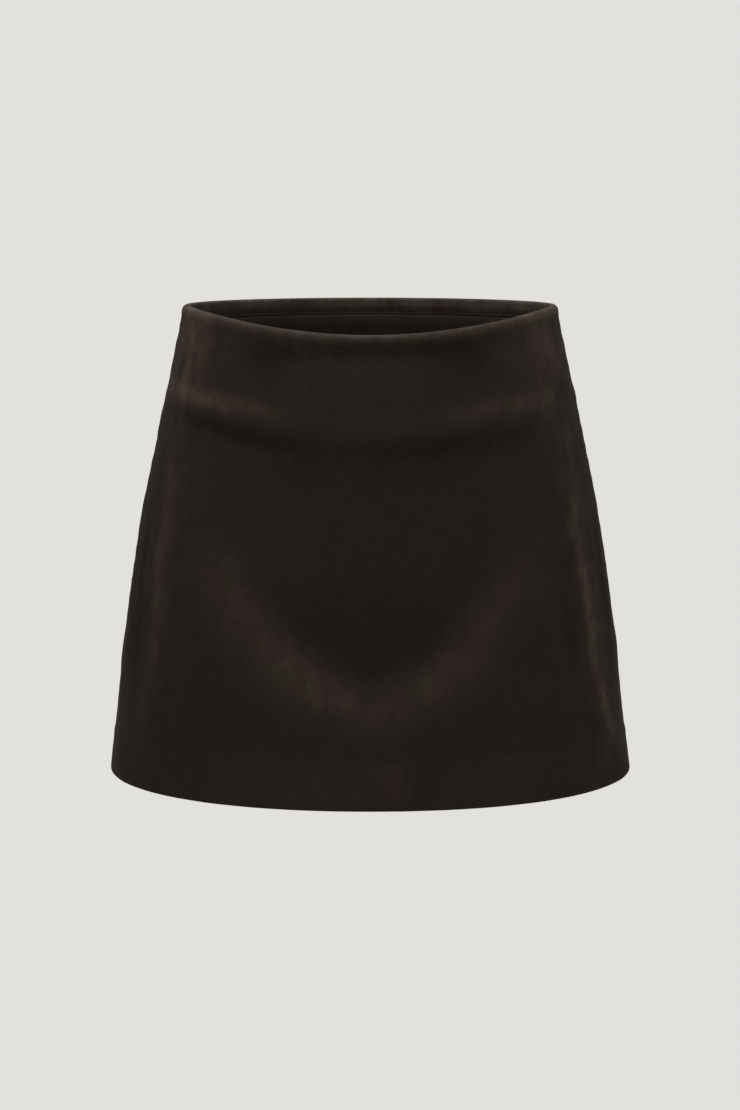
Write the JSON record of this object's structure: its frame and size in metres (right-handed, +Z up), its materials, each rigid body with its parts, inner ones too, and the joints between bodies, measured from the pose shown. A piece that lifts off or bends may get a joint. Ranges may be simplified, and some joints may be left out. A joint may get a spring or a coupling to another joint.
{
  "type": "suede skort",
  "caption": "Short A-line suede skirt over knit inner shorts, hollow and filled out as when worn, with a turned elastic waist and a level hem.",
  "frame": {"origin": "centre of the waist opening, level with its rim at the side seams, where the wearer's waist holds the garment", "axes": "+Z up, -Y the garment's front, +X the wearer's left"},
  "size_m": [0.3964, 0.2914, 0.352],
  "materials": {
    "suede": "dark brown napped suede, matt with a soft sheen on its folds",
    "knit": "smooth dark knit, matt"
  },
  "bodies": {
    "root": {"skirt_front": "suede", "skirt_back": "suede", "waist_band_front": "suede", "waist_band_back": "suede", "shorts_left": "knit", "shorts_right": "knit"}
  },
  "joints": []
}
